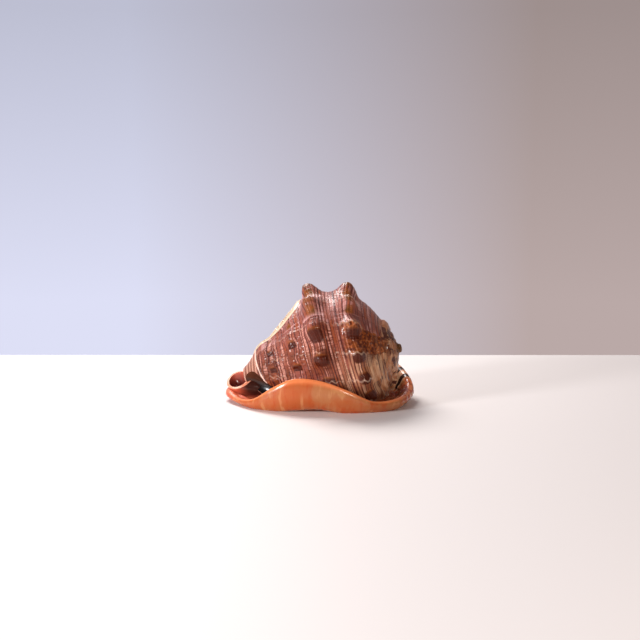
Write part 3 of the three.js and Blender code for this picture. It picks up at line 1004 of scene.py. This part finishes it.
# Colours of the medallion.
CREAM = colour(240, 230, 208)
IVORY = colour(216, 200, 170)
BORDER_SHADE = colour(216, 184, 150)
GROUND_BROWN = colour(126, 60, 34)
GROUND_TAN = colour(184, 104, 60)
GROUND_LINE = colour(96, 42, 26)
THIN_PALE = colour(206, 146, 106)
THIN_DARK = colour(188, 122, 84)
# Colours of the shield and lip.
ORANGE = colour(186, 92, 46)
PALE_ORANGE = colour(184, 114, 70)
DEEP_ORANGE = colour(182, 72, 28)
RED_ORANGE = colour(166, 46, 16)
BRUSHED_TAN = colour(208, 146, 96)
RIM_ORANGE = colour(250, 140, 84)
DISH_PINK = colour(236, 150, 116)
LIP_PALE = colour(240, 206, 170)
BLACK_BROWN = colour(34, 20, 18)
CORAL = colour(214, 104, 84)
UNDER_PEACH = colour(240, 176, 138)
UNDER_ORANGE = colour(222, 134, 96)
# Colours of the canal, pit, mouth and teeth.
CANAL_RED = colour(186, 60, 42)
CANAL_PINK = colour(214, 104, 74)
# The pit's dark brown with painted shade, laid on the canal's wall beside the pit.
CANAL_PIT_SHADE = colour(40, 22, 18)
DARK_RED = colour(104, 28, 26)
# Painted shade that darkens the bottom of the pit.
PIT_SHADE_BLACK = colour(20, 11, 9)
PIT_BROWN = colour(104, 62, 44)
PIT_FLOOR = colour(200, 104, 66)
MOUTH_ORANGE = colour(206, 110, 66)
MOUTH_BROWN = colour(120, 46, 30)
EDGE_PINK = colour(246, 188, 160)
EDGE_ORANGE = colour(226, 134, 98)
# Red darkened by painted shade, for the bottom of the canal's channel.
CHANNEL_SHADED_RED = colour(92, 26, 26)
CHANNEL_PINK = colour(214, 106, 84)
TOOTH_TAN = colour(240, 204, 172)

# Finish: how rough the parts other than the back and brim are, and how strong their clear coat is.
POLISHED = 0.22
COAT = 0.4
COAT_ROUGHNESS = 0.07
SHELL_IOR = 1.5

# Dark bars across the lip: the turn of the one nearest the apex, and their pitch.
BAR_TURN = 5.97
BAR_PITCH = 0.18


def back_material():
    n = Nodes("shell back")
    along, turn, radius, panel = n.traits("along", "turn", "radius", "panel")
    knob, spot, across, depth = n.traits("knob", "spot", "across", "depth")
    pause, ramp = n.traits("pause", "height")
    place = n.place()
    patches = n.noise(40.0, 4.0, place)
    clouds = n.noise(95.0, 3.0, place, 0.5)
    growth = n.streaks(3.0, turn, 52.0, along, 0.14)

    # Growth panels: mauve above the pale growth ridge, browner below it.
    upper = n.step(panel, -0.02, 0.02)
    n.base = n.mix(upper, n.mix(n.step(patches, 0.4, 0.62), ROSE_BROWN, BROWN),
                   n.mix(n.step(patches, 0.42, 0.66), MAUVE, PALE_LILAC))
    n.lay(RUST, n.step(clouds, 0.52, 0.66), 0.4)

    # Cords of uneven width: each has its own lot, pale or rusty, that changes slowly round the
    # shell, and only some of the grooves between them are dark.
    uneven = n.noise(0.23, 2.0, n.stretched(along, 0.0))
    cord = n.plus(n.times(along, 1 / CORD_PITCH), n.times(uneven, 3.2))
    cord = n.plus(cord, n.times(patches, 0.3))
    index = n.math("ROUND", cord)
    off = n.math("ABSOLUTE", n.minus(cord, index))
    lot = n.streaks(1.0, index, 5.37, turn, 1.3)
    groove = n.times(n.math("FLOOR", cord), 3.91)
    groove_lot = n.noise(1.0, 1.0, n.stretched(groove, n.times(turn, 1.1), 7.0))
    ridge = n.step(off, 0.36, 0.16)
    n.lay(RUST, ridge, n.step(lot, 0.44, 0.36), 0.7)
    n.lay(n.mix(upper, ROSY, LILAC), ridge, n.step(lot, 0.5, 0.58), n.step(growth, 0.66, 0.42), 0.85)
    n.lay(MAROON, n.step(off, 0.3, 0.45), n.step(groove_lot, 0.36, 0.46), 0.9)
    n.lay(MAROON, n.step(growth, 0.53, 0.7), 0.45)

    # Ramp between the shoulder and the suture: mauve, and tan with dark streaks near the spire.
    streaks = n.noise(1.0, 4.0, n.round(n.plus(turn, 2.0), 2.2, n.times(radius, 0.17)), 0.6)
    sandy = n.mix(n.step(ramp, -0.2, 0.7), TAN, SAND)
    sandy = n.layer(sandy, AMBER, n.step(clouds, 0.45, 0.65), 0.65)
    sandy = n.layer(sandy, STREAK, n.step(streaks, 0.46, 0.53), 0.9)
    mauve_part = n.times(n.step(panel, -0.05, 0.05), n.step(turn, 1.2, 0.8), n.step(radius, 20.0, 30.0))
    n.lay(sandy, n.step(along, 34.0, 26.0), n.inverse(mauve_part))

    # Near the shield the shoulder fades to tan, with pale and dark cords.
    low = n.times(n.step(turn, -1.25, -1.7), n.step(along, 60.0, 44.0))
    n.lay(n.mix(n.step(lot, 0.45, 0.55), TAN, SAND), low, n.step(off, 0.42, 0.2), 0.6)

    # Rough rusty panel between the first two growth ridges, from the shoulder to the suture.
    rough_panel = n.band(panel, -1.0, 0.0, 0.04)
    rough_part = n.times(rough_panel, n.step(along, 46.0, 38.0), n.step(radius, 18.0, 25.0))
    speck = n.noise(420.0, 3.0, place, 0.3)
    rough = n.mix(n.step(speck, 0.42, 0.6), DARK_RUST, BRIGHT_RUST)
    # Its pale sand specks are painted highlights on the rough grains.
    n.lay(n.layer(rough, SAND, n.step(speck, 0.62, 0.74), 0.7), rough_part, 0.85)
    n.lay(OLIVE, n.step(radius, 7.5, 4.0), 0.85)

    # Knobs: amber tips and pale lower sides above the ridge, chestnut blocks below it.
    ragged = n.plus(spot, n.times(n.minus(clouds, 0.5), 0.5))
    tip = n.mix(n.step(clouds, 0.4, 0.6), OLIVE, AMBER)
    n.lay(LILAC, upper, n.step(across, 0.0, -0.5), n.step(spot, -0.78, -0.4), 0.85)
    n.lay(tip, upper, n.step(ragged, 0.2, 0.7), n.step(across, -0.8, 0.0), 0.9)
    n.lay(tip, upper, n.step(knob, 0.65, 0.9), 0.7)
    block = n.mix(n.step(across, 0.4, 0.95), CHESTNUT, AMBER)
    n.lay(block, n.inverse(upper), n.step(ragged, 0.0, 0.3), 0.95)

    # Pale scalloped edges where growth paused.
    strength = n.plus(n.times(n.step(along, 52.0, 40.0), 0.25), n.times(n.step(clouds, 0.45, 0.62), 0.45))
    edge = n.step(n.plus(pause, n.times(clouds, 2.0)), 2.2, 1.0)
    n.lay(PEACH, edge, strength, n.step(along, 24.0, 30.0))

    # Front end: brown with pale ridges, and the pale thread that crosses it.
    front = n.step(along, 108.0, 114.0)
    n.lay(FRONT_BROWN, front, 0.85)
    n.lay(FRONT_RIDGE, front, n.step(n.math("COSINE", n.times(along, TURN / 3.2)), 0.35, 0.85), 0.8)
    share = n.math("POWER", n.math("MAXIMUM", n.times(turn, -1 / THREAD_END_ANGLE), 0.0), THREAD_BEND)
    line = n.math("ABSOLUTE", n.minus(along, n.minus(THREAD_START, n.times(share, THREAD_DROP))))
    n.lay(THREAD_PALE, n.step(line, 0.7, 0.3), n.step(turn, 0.1, -0.1))

    # Cut edge of the shell's layers round the medallion.
    cut = n.step(depth, -0.05, -0.025)
    n.lay(n.mix(patches, PEACH, IVORY), cut)
    height = n.plus(n.times(n.minus(0.5, off), 0.8), n.times(growth, 1.3))
    return n.finish(n.times(height, n.inverse(cut)), 0.0005, 0.28, 0.25, 0.1)


def medallion_material():
    n = Nodes("carved medallion")
    along, depth, relief, height = n.traits("along", "depth", "relief", "height")
    place = n.place()
    ground = n.mix(n.noise(60.0, 4.0, place), GROUND_BROWN, GROUND_TAN)
    lines = n.streaks(3.0, along, 0.9, n.noise(14.0, 1.0, place), 1.5)
    ground = n.layer(ground, GROUND_LINE, n.step(lines, 0.5, 0.7), 0.5)
    thin = n.mix(n.noise(90.0, 3.0, place), THIN_PALE, THIN_DARK)
    white = n.mix(n.step(height, 0.35, 1.5), thin, IVORY)
    white = n.mix(n.step(depth, MEDALLION_BORDER + 0.02, MEDALLION_BORDER), white,
                  n.mix(n.noise(120.0, 3.0, place), IVORY, BORDER_SHADE))
    n.base = n.mix(relief, ground, white)
    return n.finish(n.noise(700.0, 2.0, place), 0.00008, 0.34, 0.25)


def brim_material():
    """Shield and lip. Across them, "along" counts the rows of the brim's section from 0 to 13."""
    n = Nodes("shield and lip")
    across, turn = n.traits("along", "turn")
    place = n.place()
    clouds = n.noise(24.0, 4.0, place, 0.4)
    brushed = n.streaks(4.0, turn, 9.0, across, 0.35)
    n.base = n.mix(n.step(clouds, 0.4, 0.6), ORANGE, PALE_ORANGE)
    n.lay(DEEP_ORANGE, n.step(brushed, 0.5, 0.68), 0.7)
    n.lay(BRUSHED_TAN, n.step(brushed, 0.46, 0.32), 0.6)
    n.lay(RIM_ORANGE, n.band(across, 7.3, 8.5, 0.6), 0.75)

    # Dish inside the rim, with red growth lines.
    dish = n.step(across, 9.0, 10.0)
    lines = n.streaks(4.0, across, 3.2, turn, 1.6, 0.6)
    n.lay(RED_ORANGE, dish, n.step(lines, 0.5, 0.62), 0.7)
    n.lay(DISH_PINK, dish, n.step(lines, 0.44, 0.3), 0.6)

    # Back end: red wrinkles and two dark bars. The far lip has more bars across its back.
    end = n.plus(n.step(turn, 0.5, 0.2), n.step(turn, TURN - 0.5, TURN - 0.25))
    wrinkles = n.noise(150.0, 4.0, place, 1.2)
    n.lay(RED_ORANGE, end, n.step(wrinkles, 0.48, 0.6), n.step(across, 5.0, 6.5), 0.85)
    bars = n.step(n.math("COSINE", n.times(n.minus(turn, BAR_TURN), TURN / BAR_PITCH)), 0.0, 0.35)
    far = n.times(n.step(turn, 3.95, 4.05), n.step(turn, BAR_TURN + 0.08, BAR_TURN + 0.06))
    long_bars = n.times(n.step(turn, 5.68, 5.72), n.band(across, 7.0, 10.3, 0.3))
    patchy = n.streaks(2.0, turn, 5.0, across, 1.0)
    short_bars = n.times(n.band(across, 5.6, 9.4, 0.3), n.step(patchy, 0.42, 0.52))
    n.lay(LIP_PALE, far, n.band(across, 5.6, 10.5, 0.5), n.inverse(bars), 0.5)
    n.lay(BLACK_BROWN, far, bars, n.math("MAXIMUM", long_bars, short_bars), 0.95)

    # Pink towards the canal, with one cream patch in the dish that is a painted highlight.
    n.lay(CORAL, n.near(place, (-60, -14, 8), 22), 0.55)
    n.lay(CREAM, n.near(place, (-44, -43, 9), 9), n.step(across, 8.0, 8.6), 0.9)

    # Underside: peach and orange clouds.
    under = n.mix(n.step(clouds, 0.4, 0.6), UNDER_PEACH, UNDER_ORANGE)
    n.lay(under, n.step(across, 4.4, 3.4), 0.85)
    return n.finish(n.plus(n.times(brushed, 0.6), n.times(lines, dish)), 0.0004, 0.25, 0.35, 0.15)


def plain_material(name, first, second, scale):
    n = Nodes(name)
    place = n.place()
    n.base = n.mix(n.step(n.noise(scale, 4.0, place, 0.5), 0.35, 0.65), first, second)
    return n.finish(n.noise(scale * 5, 3.0, place), 0.0002, 0.25, COAT)


def graded_material(name, low, high, bottom, top):
    """Material whose colour changes with the height above the table, in millimetres."""
    n = Nodes(name)
    place = n.place()
    uneven = n.times(n.minus(n.noise(60.0, 4.0, place, 0.4), 0.5), 0.5 * (top - bottom))
    n.base = n.mix(n.step(n.plus(n.above_table(place), uneven), bottom, top), low, high)
    return n.finish(n.noise(240.0, 3.0, place), 0.0002, POLISHED, COAT)


def canal_material():
    n = Nodes("canal wall")
    place = n.place()
    mottle = n.noise(60.0, 4.0, place, 0.4)
    n.base = n.mix(n.step(mottle, 0.35, 0.65), CANAL_RED, CANAL_PINK)
    n.lay(DARK_RED, n.near(place, (-74, -4, 16), 12), 0.8)
    # Nearly black beside the pit: its dark brown with painted shade.
    n.lay(CANAL_PIT_SHADE, n.near(place, (-50, -13, 13), 17), 0.95)
    return n.finish(mottle, 0.0003, POLISHED, COAT)


def pit_material():
    """Brown above, and nearly black below where shade is painted into the recess, with the dish's colour on
    its floor.
    """
    n = Nodes("pit")
    place = n.place()
    height = n.above_table(place)
    mottle = n.noise(40.0, 4.0, place, 0.4)
    ragged = n.plus(height, n.times(n.minus(mottle, 0.5), 9.0))
    # Dark brown callus above, with painted shade turning it nearly black lower down.
    n.base = n.mix(n.step(ragged, 10.0, 28.0), PIT_SHADE_BLACK, PIT_BROWN)
    n.lay(PIT_FLOOR, n.step(height, 7.0, 5.8))
    return n.finish(mottle, 0.0002, POLISHED, 0.15)


def make_materials():
    return {
        "back": back_material(),
        "brim": brim_material(),
        "pit": pit_material(),
        "mouth": graded_material("mouth", MOUTH_ORANGE, MOUTH_BROWN, 4, 18),
        "canal": canal_material(),
        "canal_edge": plain_material("canal edge", EDGE_PINK, EDGE_ORANGE, 120.0),
        # The channel turns darker red towards its bottom: painted shade over its red.
        "channel": graded_material("canal channel", CHANNEL_SHADED_RED, CHANNEL_PINK, 9, 22),
        "teeth": plain_material("teeth", CREAM, TOOTH_TAN, 90.0),
        "medallion": medallion_material(),
    }


# Camera: the photo's angle, with the shell's place in its frame.
CAMERA_AZIMUTH = math.radians(6)
CAMERA_ELEVATION = math.radians(7)
CAMERA_DISTANCE = 0.8
CAMERA_ANGLE = math.radians(35)
CAMERA_TARGET = Vector((0.0, 0.0, 0.0635))


def add_camera():
    back = Vector((
        math.sin(CAMERA_AZIMUTH) * math.cos(CAMERA_ELEVATION),
        -math.cos(CAMERA_AZIMUTH) * math.cos(CAMERA_ELEVATION),
        math.sin(CAMERA_ELEVATION),
    ))
    data = bpy.data.cameras.new("camera")
    data.sensor_fit = "VERTICAL"
    data.angle = CAMERA_ANGLE
    camera = add_object("camera", data)
    camera.location = CAMERA_TARGET + back * CAMERA_DISTANCE
    camera.rotation_euler = back.to_track_quat("Z", "Y").to_euler()
    bpy.context.scene.camera = camera


# How bright the room is on the near side and above, as a share of the wall by the table, and the
# wall's colour on the left and on the right.
NEAR_SIDE_LIGHT = 0.2
UPPER_LIGHT = 0.7
COOL_WALL = colour(222, 224, 246)
WARM_WALL = colour(186, 169, 167)

# Table top, whose rear edge is this far behind the shell, square to the camera's view.
TABLE_REAR = 0.225
TABLE_SIZE = 3.0
TABLE_COLOUR = (0.86, 0.81, 0.79, 1)
TABLE_ROUGHNESS = 0.55

# Lights: name, place, the point that it is turned to, its size, power in watts and colour.
LIGHTS = [
    ("window", (-0.85, -0.75, 0.3), (0, 0, 0.04), (0.22, 0.24), 11.5, (0.96, 0.97, 1.0)),
    ("lamp", (0.45, -0.9, 0.35), (0, 0, 0.04), (0.16, 0.16), 2.5, (1.0, 0.9, 0.8)),
    ("back light", (-0.35, 0.45, 0.75), (0, 0, 0.03), (0.5, 0.35), 10.0, (1.0, 0.96, 0.93)),
]


def add_stage():
    mesh = bpy.data.meshes.new("table")
    corners = [(-TABLE_SIZE, -TABLE_SIZE, 0), (TABLE_SIZE, -TABLE_SIZE, 0), (TABLE_SIZE, TABLE_REAR, 0),
               (-TABLE_SIZE, TABLE_REAR, 0)]
    mesh.from_pydata(corners, [], [(0, 1, 2, 3)])
    table = add_object("table", mesh)
    table.rotation_euler[2] = CAMERA_AZIMUTH
    n = Nodes("table top")
    n.fill(n.shader, {"Base Color": TABLE_COLOUR, "Roughness": TABLE_ROUGHNESS})
    mesh.materials.append(n.owner)


def add_area_light(name, place, target, size, power, tint):
    data = bpy.data.lights.new(name, "AREA")
    data.shape = "RECTANGLE"
    data.size, data.size_y = size
    data.energy = power
    data.color = tint
    lamp = add_object(name, data)
    lamp.location = place
    lamp.rotation_euler = (Vector(target) - Vector(place)).to_track_quat("-Z", "Y").to_euler()


def add_world():
    """Pale room, cool on the left and warm on the right, dimmer above and on the near side."""
    n = Nodes("studio", bpy.data.worlds, "Background")
    heading = n.add("ShaderNodeSeparateXYZ", {"Vector": n.place("Generated")})

    def share(axis, low, high, least=0.0):
        limits = {"Value": heading.outputs[axis], "From Min": low, "From Max": high, "To Min": least}
        return n.add("ShaderNodeMapRange", limits).outputs["Result"]

    n.fill(n.shader, {
        "Color": n.mix(share("X", -0.28, 0.1), COOL_WALL, WARM_WALL),
        "Strength": n.times(share("Y", -0.1, 0.7, NEAR_SIDE_LIGHT), share("Z", 0.17, -0.1, UPPER_LIGHT)),
    })
    bpy.context.scene.world = n.owner
    bpy.context.scene.view_settings.view_transform = "Standard"


add_camera()
POLAR_ANGLES = outline_angles()
materials = make_materials()
pieces = [build_shell(), build_medallion()]
place_in_frame(pieces)
for piece in pieces:
    piece.data.shade_smooth()
    piece.data.set_sharp_from_angle(angle=SHARP_ANGLE)
    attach(piece, "root")
    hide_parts("shell")
add_stage()
add_world()
for light in LIGHTS:
    add_area_light(*light)
